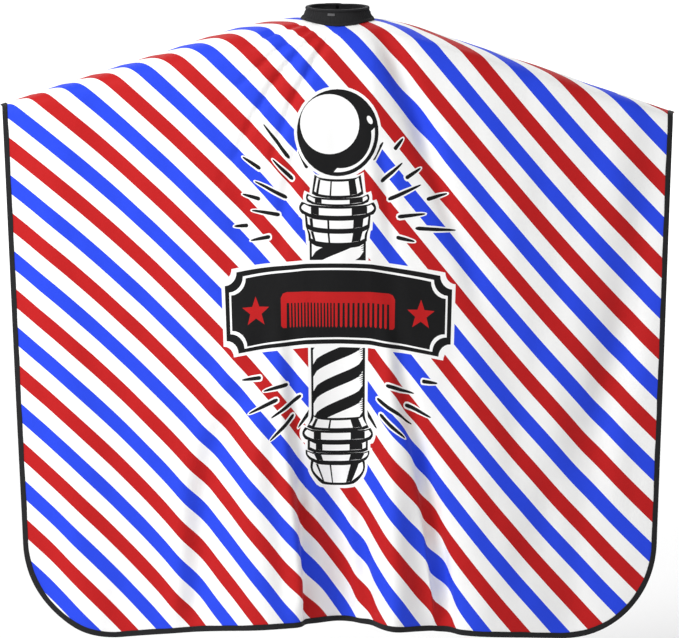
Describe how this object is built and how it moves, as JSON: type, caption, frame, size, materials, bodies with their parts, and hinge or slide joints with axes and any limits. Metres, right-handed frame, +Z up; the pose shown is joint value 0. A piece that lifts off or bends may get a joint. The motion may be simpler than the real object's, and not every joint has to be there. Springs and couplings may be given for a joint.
{
  "type": "barber cape",
  "caption": "Hairdressing cape: wide striped cloth panel with bound edges that hangs from an elastic stand collar, closed behind the neck by a press-stud tab.",
  "frame": {"origin": "centre of the neck opening, level with the top of the shoulders, where the collar meets the panel", "axes": "+X across the shoulders to the viewer's right, +Y towards the wearer's back, +Z up along the collar"},
  "size_m": [1.3564, 0.3524, 1.2644],
  "materials": {
    "printed_cloth": "soft printed polyester: blue, white and red diagonal stripes with a black and white pole ornament",
    "black_tape": "folded woven tape, matt black, with a row of stitches",
    "black_cloth": "matt black cloth, gathered by the elastic inside it",
    "elastic": "black knitted elastic",
    "grey_tag": "plain light grey woven tag",
    "nickel": "polished nickel-plated press studs"
  },
  "bodies": {
    "cape": {"cape_panel": "printed_cloth", "edge_binding": "black_tape", "slit_binding_left": "black_tape", "slit_binding_right": "black_tape", "collar_band": "black_cloth", "collar_lining": "black_cloth", "collar_elastic": "elastic", "collar_top_binding": "black_tape", "neck_seam_tape": "black_tape", "collar_label": "grey_tag", "snap_stud_1": "nickel", "snap_stud_2": "nickel", "snap_stud_3": "nickel", "snap_stud_4": "nickel", "snap_stud_5": "nickel", "snap_post_1": "nickel", "snap_post_2": "nickel", "snap_post_3": "nickel", "snap_post_4": "nickel", "snap_post_5": "nickel"},
    "closure_tab": {"closure_tab_inner": "black_cloth", "closure_tab_outer": "black_cloth", "tab_snap_socket_1": "nickel", "tab_snap_socket_2": "nickel", "tab_snap_cap_1": "nickel", "tab_snap_cap_2": "nickel"}
  },
  "joints": [
    {"name": "closure_tab_open", "type": "hinge", "parent": "cape", "child": "closure_tab", "pos_m": [-0.00255, 0.0638, 0.00946], "axis": [-0.0443, -0.3202, 0.9463], "range_deg": [0, 75]}
  ]
}
